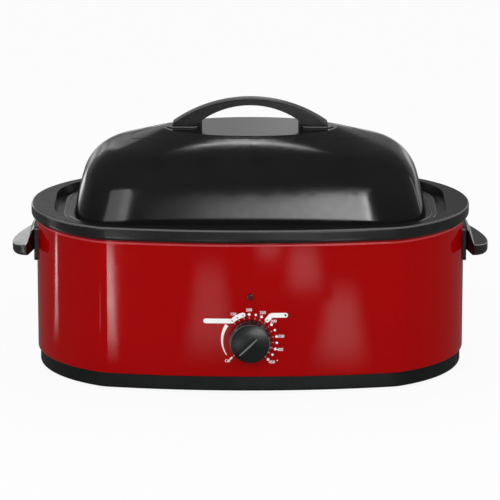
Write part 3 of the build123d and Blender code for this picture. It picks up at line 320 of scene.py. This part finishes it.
def print_shape(name, outlines, material, lift=PRINT_LIFT):
    """Flat printed shapes on the wall: each outline is a list of (x, z) points."""
    mesh = bmesh.new()
    for outline in outlines:
        front = [mesh.verts.new((x, wall_y(x, lift), z)) for x, z in outline]
        back = [mesh.verts.new((x, wall_y(x, -PRINT_ROOT), z)) for x, z in outline]
        mesh.faces.new(front)
        mesh.faces.new(back[::-1])
        for i, corner in enumerate(front):
            mesh.faces.new((corner, back[i], back[i - 1], front[i - 1]))
    bmesh.ops.recalc_face_normals(mesh, faces=mesh.faces)
    bmesh.ops.triangulate(mesh, faces=[f for f in mesh.faces if len(f.verts) > 4])
    data = bpy.data.meshes.new(name)
    mesh.to_mesh(data)
    mesh.free()
    piece = new_piece(name, data, material)
    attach(piece, "body")


def disc(centre, radius, points=20):
    """A round outline as a polygon."""
    x, z = centre
    return [(x + radius * cos(2 * pi * i / points), z + radius * sin(2 * pi * i / points))
            for i in range(points)]


def diamond(angle, radius, size):
    """A mark with a point towards the knob's centre and a blunt outer end."""
    inner = on_dial(angle, radius - size)
    outer = on_dial(angle, radius + size)
    side = size / radius * 180 / pi
    return [inner, on_dial(angle - side, radius), outer, on_dial(angle + side, radius)]


def across_ring(angle, radius, length):
    """The two ends of a short line along a radius of the dial."""
    return [on_dial(angle, radius - length / 2), on_dial(angle, radius + length / 2)]


def bar(points, width, ends=8):
    """A band of constant width along a line of points, with round ends."""
    left, right = [], []
    count = len(points)
    for i, (x, z) in enumerate(points):
        x0, z0 = points[max(0, i - 1)]
        x1, z1 = points[min(count - 1, i + 1)]
        turn = atan2(z1 - z0, x1 - x0) + pi / 2
        left.append((x + width / 2 * cos(turn), z + width / 2 * sin(turn)))
        right.append((x - width / 2 * cos(turn), z - width / 2 * sin(turn)))

    def cap(centre, start):
        return [(centre[0] + width / 2 * cos(start - pi * i / ends),
                 centre[1] + width / 2 * sin(start - pi * i / ends)) for i in range(1, ends)]

    out = atan2(points[-1][1] - points[-2][1], points[-1][0] - points[-2][0])
    back = atan2(points[1][1] - points[0][1], points[1][0] - points[0][0])
    return left + cap(points[-1], out + pi / 2) + right[::-1] + cap(points[0], back - pi / 2)


def crescent(start, end, radius, thick, taper=0.82, steps=28):
    """A band along the dial, thick at its start; taper is the share lost towards its end."""
    outer, inner = [], []
    for i in range(steps + 1):
        share = i / steps
        angle = start + (end - start) * share
        width = thick * (1 - taper * share)
        outer.append(on_dial(angle, radius + width / 2))
        inner.append(on_dial(angle, radius - width / 2))
    return outer + inner[::-1]


def lettering(name, text, centre, height):
    """A number or a plain word on the wall, centred on a point, as a thin solid."""
    curve = bpy.data.curves.new(name, "FONT")
    curve.body = text
    curve.size = height / CAPITAL_SHARE
    curve.align_x = "CENTER"
    curve.align_y = "CENTER"
    curve.offset = LETTER_WEIGHT * curve.size
    curve.extrude = PRINT_LIFT
    curve.resolution_u = 4
    holder = bpy.data.objects.new(name + "_curve", curve)
    bpy.context.scene.collection.objects.link(holder)
    bpy.context.view_layer.update()
    mesh = bpy.data.meshes.new_from_object(holder.evaluated_get(bpy.context.evaluated_depsgraph_get()))
    bpy.data.objects.remove(holder)
    for vertex in mesh.vertices:
        x, z, depth = vertex.co
        x += centre[0]
        vertex.co = (x, wall_y(x, depth), z + centre[1])
    mesh.flip_normals()
    piece = new_piece(name, mesh, PRINT_WHITE)
    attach(piece, "body")


# The dial's print: angles clockwise from the top in degrees, then sizes
MAJOR_MARKS = (-2.2, 25.0, 52.7, 81.7, 109.9, 138.0)
MINOR_MARKS = (11.9, 67.0, 95.7, 123.9)
LEFT_TAG_DOTS = (-42.2, -28.9, -15.3)
RIGHT_TAG_DOT = 39.2
CRESCENT_START, CRESCENT_END = -56.0, -123.0
CRESCENT_RADIUS, CRESCENT_WIDTH = 33.2 * MM, 4.2 * MM
MAJOR_HALF = 2.1 * MM
MINOR_RADIUS = 1.4 * MM
TICK_RADIUS, TICK_LENGTH, TICK_WIDTH = 27.2 * MM, 0.8 * MM, 0.5 * MM
OFF_LENGTH, OFF_WIDTH = 2.4 * MM, 2.0 * MM
TAG_WIDTH = 5.7 * MM
LEFT_TAG_START, LEFT_TAG_STEP = -0.0525, 0.0035
LEFT_TAG_BENDS, LEFT_TAG_OUT = (-36.0, -28.9, -22.0, -15.3), 0.4 * MM
DOT_RADIUS, END_DOT_RADIUS, DOT_LIFT = 0.8 * MM, 1.3 * MM, 0.2 * MM
DEGREE_CENTRE, DEGREE_RADIUS = (32.0 * MM, 41.6 * MM), 0.7 * MM
LETTER = 3.4 * MM

print_shape("dial_major_marks", [diamond(a, RING_RADIUS, MAJOR_HALF) for a in MAJOR_MARKS], PRINT_WHITE)
print_shape("dial_minor_marks", [disc(on_dial(a, RING_RADIUS), MINOR_RADIUS) for a in MINOR_MARKS],
            PRINT_WHITE)
tick_angles = [OFF_ANGLE, *MAJOR_MARKS, *MINOR_MARKS, RIGHT_TAG_DOT, *LEFT_TAG_DOTS]
print_shape("dial_ticks", [bar(across_ring(a, TICK_RADIUS, TICK_LENGTH), TICK_WIDTH, 4)
                           for a in tick_angles], PRINT_WHITE)
print_shape("dial_off_mark", [bar(across_ring(OFF_ANGLE, RING_RADIUS, OFF_LENGTH), OFF_WIDTH)], PRINT_WHITE)
print_shape("dial_crescent",
            [crescent(CRESCENT_START, CRESCENT_END, CRESCENT_RADIUS, CRESCENT_WIDTH)], PRINT_WHITE)

tag_end = on_dial(LEFT_TAG_DOTS[0], RING_RADIUS)
left_tag = [(LEFT_TAG_START + LEFT_TAG_STEP * i, tag_end[1]) for i in range(9)] + [tag_end]
left_tag += [on_dial(a, RING_RADIUS + LEFT_TAG_OUT) for a in LEFT_TAG_BENDS]
print_shape("dial_low_band", [bar(left_tag, TAG_WIDTH)], PRINT_WHITE)
print_shape("dial_low_dots", [disc(on_dial(a, RING_RADIUS), DOT_RADIUS) for a in LEFT_TAG_DOTS],
            PRINT_BLACK, DOT_LIFT)
right_start = on_dial(RIGHT_TAG_DOT, RING_RADIUS)
right_tag = [right_start, (right_start[0] + 4.4 * MM, right_start[1] + 5.4 * MM)]
right_tag += [(right_tag[-1][0] + (1.2 + 2.3 * i) * MM, right_tag[-1][1] + 0.5 * MM) for i in range(8)]
print_shape("dial_mid_band", [bar(right_tag, TAG_WIDTH)], PRINT_WHITE)
print_shape("dial_mid_dots", [disc(right_start, DOT_RADIUS), disc(right_tag[-1], END_DOT_RADIUS)],
            PRINT_BLACK, DOT_LIFT)

# Each label's middle on the wall, across and up, in millimetres
LABELS = {
    "150": (-20.0, 98.1), "200": (-1.4, 103.2), "250": (14.8, 99.9), "300": (27.6, 89.4),
    "350": (36.6, 70.9), "400": (35.2, 54.7), "450": (25.6, 39.6), "Off": (-26.9, 41.0),
}
for text, (x, z) in LABELS.items():
    lettering("dial_" + text, text, (x * MM, z * MM), LETTER)
print_shape("dial_degree", [disc(DEGREE_CENTRE, DEGREE_RADIUS, 10)], PRINT_WHITE)


# Thin pressed lines

BEAD_POINTS = 7
BEAD_ROOT = 0.1 * MM
WALL_BEAD_Z = 0.181
WALL_BEAD_WIDTH, WALL_BEAD_HEIGHT, WALL_BEAD_STEPS = 2.4 * MM, 0.25 * MM, 360
CROWN_LINE_REACH = (0.145, 0.061)
CROWN_LINE_WIDTH, CROWN_LINE_HEIGHT, CROWN_LINE_STEPS = 1.8 * MM, 0.3 * MM, 240

# A radius and a height from which rays meet the body's side and the lid's top
OUTSIDE, ABOVE = 0.5, 0.4


def hit_from(node, start, direction):
    """The first point of a node's surface from a start in a direction, or None."""
    found, place, _, _ = NODES[node].ray_cast(Vector(start), Vector(direction))
    return place if found else None


def bead(name, body, path, outs, width, height, material):
    """A half-round line along a closed path on a node's surface, rooted just inside it.
    outs are the directions away from the surface, one for each point of the path."""
    count = len(path)
    mesh = bmesh.new()
    rings = []
    for i, (place, out) in enumerate(zip(path, outs)):
        along = (path[(i + 1) % count] - path[i - 1]).normalized()
        side = out.cross(along).normalized()
        ring = []
        for turn in range(BEAD_POINTS):
            angle = pi * turn / (BEAD_POINTS - 1)
            ring.append(mesh.verts.new(place + side * (width / 2 * cos(angle)) + out * (height * sin(angle))))
        ring.append(mesh.verts.new(place - side * (width / 2) - out * BEAD_ROOT))
        ring.append(mesh.verts.new(place + side * (width / 2) - out * BEAD_ROOT))
        rings.append(ring)
    corners = len(rings[0])
    for i in range(count):
        for j in range(corners):
            after = (j + 1) % corners
            mesh.faces.new((rings[i - 1][j], rings[i][j], rings[i][after], rings[i - 1][after]))
    bmesh.ops.recalc_face_normals(mesh, faces=mesh.faces)
    for face in mesh.faces:
        face.smooth = True
    data = bpy.data.meshes.new(name)
    mesh.to_mesh(data)
    mesh.free()
    piece = new_piece(name, data, MATERIALS[material])
    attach(piece, body)


def wall_bead():
    """The rolled line round the top of the red wall, just under the rim, in a lighter red that paints a
    highlight along it.
    """
    path, outs = [], []
    for i in range(WALL_BEAD_STEPS):
        turn = 2 * pi * i / WALL_BEAD_STEPS
        out = Vector((cos(turn), sin(turn), 0))
        start = out * OUTSIDE + Vector((0, 0, WALL_BEAD_Z))
        hits = [hit_from(node, start, -out) for node in ("outer_housing", "housing_back")]
        path.append(min((hit for hit in hits if hit), key=lambda hit: (hit - start).length))
    for i, place in enumerate(path):
        along = path[(i + 1) % len(path)] - path[i - 1]
        outs.append(Vector((along.y, -along.x, 0)).normalized())
    bead("wall_bead", "body", path, outs, WALL_BEAD_WIDTH, WALL_BEAD_HEIGHT, "bead_highlight_enamel")


def crown_line():
    """The thin pressed oval on the lid's crown."""
    path, outs = [], []
    for i in range(CROWN_LINE_STEPS):
        turn = 2 * pi * i / CROWN_LINE_STEPS
        x, y = CROWN_LINE_REACH[0] * cos(turn), CROWN_LINE_REACH[1] * sin(turn)
        _, place, out, _ = NODES["lid_shell"].ray_cast(Vector((x, y, ABOVE)), Vector((0, 0, -1)))
        path.append(place)
        outs.append(out)
    bead("crown_line", "lid", path, outs, CROWN_LINE_WIDTH, CROWN_LINE_HEIGHT, "lid_enamel")


wall_bead()
crown_line()


# Floor, light and camera

WHITE = (1.0, 1.0, 1.0, 1.0)
BODY_AIM = (0, 0, 0.15)
LID_AIM = (0, -0.08, 0.215)
CROWN_AIM = (0, -0.07, 0.286)
FLOOR_HALF_SIZE = 12.0
FLOOR_WHITE_SHARE = 0.92
FLOOR_STRIP_Z = 0.003
FRONT_CARD_TURN = 14
CAMERA_PLACE = (0.0, -4.5, 1.22971)
CAMERA_TILT = 0.238
CAMERA_LENS = 274.16
CAMERA_SHIFT = -0.0004


def ray_share(tree, *kinds):
    """1 for rays of the named kinds, 0 for the others."""
    rays = tree.nodes.new("ShaderNodeLightPath")
    share = rays.outputs[kinds[0]]
    for kind in kinds[1:]:
        share = maths(tree, "MAXIMUM", share, rays.outputs[kind])
    return share


def maths(tree, operation, first, second):
    """A Math node on two numbers or sockets."""
    node = tree.nodes.new("ShaderNodeMath")
    node.operation = operation
    for socket, value in zip(node.inputs, (first, second)):
        if isinstance(value, (int, float)):
            socket.default_value = value
        else:
            tree.links.new(value, socket)
    return node.outputs[0]


def ramp(tree, value, start, end, low, high):
    """A smooth step from low at start to high at end."""
    node = tree.nodes.new("ShaderNodeMapRange")
    node.interpolation_type = "SMOOTHSTEP"
    tree.links.new(value, node.inputs["Value"])
    for socket, number in zip(("From Min", "From Max", "To Min", "To Max"), (start, end, low, high)):
        node.inputs[socket].default_value = number
    return node.outputs["Result"]


def blend_of(tree, share, first, second):
    """first where share is 0, second where it is 1; numbers or sockets."""
    rest = maths(tree, "SUBTRACT", 1.0, share)
    return maths(tree, "ADD", maths(tree, "MULTIPLY", rest, first), maths(tree, "MULTIPLY", share, second))


def mixed(tree, share, first, second):
    """Two shaders mixed: first where share is 0, second where it is 1."""
    node = tree.nodes.new("ShaderNodeMixShader")
    tree.links.new(share, node.inputs["Fac"])
    tree.links.new(first, node.inputs[1])
    tree.links.new(second, node.inputs[2])
    return node.outputs[0]


def floor():
    """White to the camera with the object's shadow; in reflections, dim close by and white far off."""
    mesh = bmesh.new()
    bmesh.ops.create_grid(mesh, x_segments=1, y_segments=1, size=FLOOR_HALF_SIZE)
    data = bpy.data.meshes.new("floor")
    mesh.to_mesh(data)
    mesh.free()
    plane = bpy.data.objects.new("floor", data)
    bpy.context.scene.collection.objects.link(plane)
    made = Nodes("floor_white")
    tree = made.tree
    made.set(Base_Color=(0.86, 0.86, 0.86, 1), Roughness=0.9, Specular_IOR_Level=0.0)
    white = made.add("ShaderNodeEmission")
    camera_share = maths(tree, "MULTIPLY", ray_share(tree, "Is Camera Ray"), FLOOR_WHITE_SHARE)
    shown = mixed(tree, camera_share, made.shader.outputs[0], white.outputs[0])
    length = made.add("ShaderNodeVectorMath", operation="LENGTH")
    made.link(made.place, length.inputs[0])
    mirrored = made.add("ShaderNodeEmission")
    made.link(ramp(tree, length.outputs["Value"], 1.2, 3.5, 0.13, 0.75), mirrored.inputs["Strength"])
    other = ray_share(tree, "Is Glossy Ray", "Is Transmission Ray")
    made.link(mixed(tree, other, shown, mirrored.outputs[0]),
              tree.nodes["Material Output"].inputs["Surface"])
    dress(plane, made.material)


def world():
    """White to the camera; in reflections, white low down behind the object and dim elsewhere."""
    sky = bpy.data.worlds.new("studio")
    sky.use_nodes = True
    bpy.context.scene.world = sky
    tree = sky.node_tree
    soft = tree.nodes["Background"]
    soft.inputs["Color"].default_value = WHITE
    direction = tree.nodes.new("ShaderNodeTexCoord")
    parts = tree.nodes.new("ShaderNodeSeparateXYZ")
    tree.links.new(direction.outputs["Generated"], parts.inputs[0])
    behind = ramp(tree, parts.outputs["Y"], 0.0, 0.7, 0.0, 1.0)
    low = ramp(tree, parts.outputs["Z"], 0.1, 0.35, 1.0, 0.0)
    mirrored = maths(tree, "MULTIPLY", behind, low)
    mirrored = maths(tree, "ADD", maths(tree, "MULTIPLY", mirrored, 0.12), 0.1)
    strength = blend_of(tree, ray_share(tree, "Is Glossy Ray"), 0.72, mirrored)
    strength = blend_of(tree, ray_share(tree, "Is Camera Ray", "Is Transmission Ray"), strength, 1.0)
    tree.links.new(strength, soft.inputs["Strength"])


def profile(tree, value, stops):
    """A level along a value, by smooth steps between pairs of a place and a level there."""
    level = stops[0][1]
    for (start, low), (end, high) in zip(stops, stops[1:]):
        level = maths(tree, "ADD", level, ramp(tree, value, start, end, 0.0, high - low))
    return level


def lamp_at(name, place, facing, width, height, radiance, gloss, soft=0.0, stops=None, rises=None,
            shear=0.0):
    """A rectangular lamp: gloss says if it is seen in reflections or lights the surfaces.
    soft is the share of its width and height over which its edges fade; stops and rises
    are pairs of a share along its width or its height and a level there, and shear moves
    the stops along its width as the height grows."""
    lamp = bpy.data.lights.new(name, "AREA")
    lamp.shape = "RECTANGLE"
    lamp.size = width
    lamp.size_y = height
    lamp.energy = radiance * width * height * pi
    holder = bpy.data.objects.new(name, lamp)
    bpy.context.scene.collection.objects.link(holder)
    holder.location = place
    holder.rotation_mode = "QUATERNION"
    holder.rotation_quaternion = facing
    holder.visible_camera = False
    holder.visible_diffuse = not gloss
    holder.visible_glossy = gloss
    if soft or stops:
        lamp.use_nodes = True
        tree = lamp.node_tree
        across = tree.nodes.new("ShaderNodeNewGeometry")
        parts = tree.nodes.new("ShaderNodeSeparateXYZ")
        tree.links.new(across.outputs["Parametric"], parts.inputs[0])
        level = 1.0
        if soft:
            for side in ("X", "Y"):
                edge = maths(tree, "MINIMUM", parts.outputs[side],
                             maths(tree, "SUBTRACT", 1.0, parts.outputs[side]))
                level = maths(tree, "MULTIPLY", level, ramp(tree, edge, 0.0, soft, 0.0, 1.0))
        lean = maths(tree, "MULTIPLY", parts.outputs["Y"], shear)
        leaning = maths(tree, "SUBTRACT", parts.outputs["X"], lean)
        for value, pairs in ((leaning, stops), (parts.outputs["Y"], rises)):
            if pairs:
                level = maths(tree, "MULTIPLY", level, profile(tree, value, pairs))
        tree.links.new(level, tree.nodes["Emission"].inputs["Strength"])


def towards(azimuth, elevation):
    """The direction at an azimuth from the front, right positive, and an elevation."""
    a, e = radians(azimuth), radians(elevation)
    return Vector((sin(a) * cos(e), -cos(a) * cos(e), sin(e)))


def softbox(name, azimuth, elevation, distance, width, height, radiance, aim=BODY_AIM, **rest):
    """A lamp that is seen from aim in a direction and faces it."""
    back = towards(azimuth, elevation)
    facing = back.to_track_quat("Z", "Y")
    lamp_at(name, Vector(aim) + back * distance, facing, width, height, radiance, **rest)


def strip(name, start, end, width, radiance, aim=None, **rest):
    """A lamp between two points, seen only in reflections. It faces aim, or lies on the
    floor facing up."""
    start, end = Vector(start), Vector(end)
    middle = (start + end) / 2
    along = (end - start).normalized()
    back = middle - Vector(aim) if aim else Vector((0, 0, -1))
    back = (back - along * back.dot(along)).normalized()
    facing = Matrix((along, back.cross(along), back)).transposed().to_quaternion()
    lamp_at(name, middle, facing, (end - start).length, width, radiance, True, **rest)


def floor_strip(name, start, end, width, radiance, soft, stops=None):
    strip(name, (*start, FLOOR_STRIP_Z), (*end, FLOOR_STRIP_Z), width, radiance, soft=soft, stops=stops)


def studio():
    softbox("key", -14, 30, 2.4, 1.6, 1.2, 2.6, gloss=False)
    softbox("fill", 50, 25, 2.4, 1.2, 1.2, 1.2, gloss=False)
    front = Vector((0, -1, 0)).to_track_quat("Z", "Y") @ Quaternion((0, 0, 1), radians(FRONT_CARD_TURN))
    lamp_at("front_card", (0.382, -2.18, 0.224), front, 1.95, 0.95, 10.0, True, shear=0.55,
            stops=((-0.15, 0.05), (-0.054, 0.15), (-0.005, 0.27), (0.028, 0.37), (0.049, 0.48),
                   (0.09, 0.66), (0.168, 0.82), (0.308, 0.95), (0.42, 1), (0.485, 1), (0.515, 2.3),
                   (0.54, 2.3), (0.56, 0), (1, 0)),
            rises=((0.34, 0.75), (0.442, 0.95), (0.474, 1), (0.495, 0.9), (0.516, 0.5),
                   (0.547, 0.26), (0.6, 0.16), (0.737, 0.07), (0.947, 0), (1, 0)))
    softbox("left_card", -40, 4.5, 2.2, 1.42, 0.58, 4.0, aim=LID_AIM, gloss=True, soft=0.1,
            shear=-0.2, stops=((0.22, 0), (0.26, 0.5), (0.67, 0.6), (0.86, 1), (0.94, 1), (0.97, 0)))
    peak = (0, 0.634, 1.611)
    fading = dict(stops=((0, 1), (0.4, 0.85), (1, 0)), rises=((0, 0), (0.35, 1), (0.65, 1), (1, 0)))
    strip("top_left", peak, (-0.28, 0.85, 1.46), 0.075, 11.0, aim=CROWN_AIM, **fading)
    strip("top_right", peak, (0.28, 0.8, 1.5), 0.075, 11.0, aim=CROWN_AIM, **fading)
    behind = Vector((0, 1, 0)).to_track_quat("Z", "Y")
    lamp_at("back_card", (-0.05, 1.1, 0.55), behind, 0.9, 0.36, 1.0, True, soft=0.12,
            stops=((0, 0), (0.22, 0.05), (0.29, 0.3), (0.355, 0.5), (0.5, 0.36), (0.65, 0.22),
                   (0.81, 0.2), (0.87, 0.5), (1, 0.5)))
    lamp_at("back_left", (-0.45, 1.1, 0.37), behind, 0.16, 0.2, 0.6, True, soft=0.3)
    lamp_at("handle_card", (-0.36, 0.3, 0.197), behind, 0.16, 0.08, 1.6, True, soft=0.25)
    softbox("right_strip", 128, 5, 1.5, 0.08, 0.5, 1.5, aim=(0.2, 0, 0.22), gloss=True)
    floor_strip("streak_1", (-0.34, -0.03), (-0.99, 0.247), 0.045, 10.0, 0.3,
                ((0, 0.1), (0.3, 0.35), (0.55, 0.7), (0.75, 1), (1, 1)))
    floor_strip("streak_2", (-0.36, -0.29), (-0.57, -0.485), 0.03, 2.5, 0.3)
    floor_strip("streak_3", (-0.195, -0.215), (-0.49, -0.87), 0.02, 18.0, 0.2,
                ((0, 0), (0.12, 0.15), (0.3, 0.55), (0.5, 1), (0.85, 1), (1, 0.7)))
    floor_strip("glow_1", (-0.06, -0.25), (-0.135, -0.86), 0.12, 1.6, 0.35)
    floor_strip("glow_2", (0.06, -0.8), (0.065, -0.97), 0.12, 2.4, 0.4)
    floor_strip("glow_3", (0.14, -0.58), (0.19, -0.95), 0.14, 2.4, 0.4)
    floor_strip("glow_4", (0.12, -0.2), (0.27, -0.7), 0.12, 2.3, 0.4)


def camera():
    """A long lens in front of the object, looking down by 13.6 degrees."""
    lens = bpy.data.cameras.new("camera")
    lens.sensor_width = 36.0
    lens.lens = CAMERA_LENS
    lens.shift_x = CAMERA_SHIFT
    lens.clip_end = 100.0
    holder = bpy.data.objects.new("camera", lens)
    bpy.context.scene.collection.objects.link(holder)
    holder.location = CAMERA_PLACE
    holder.rotation_euler = (pi / 2 - CAMERA_TILT, 0.0, 0.0)
    bpy.context.scene.camera = holder


floor()
world()
studio()
camera()
bpy.context.scene.view_settings.view_transform = "Standard"
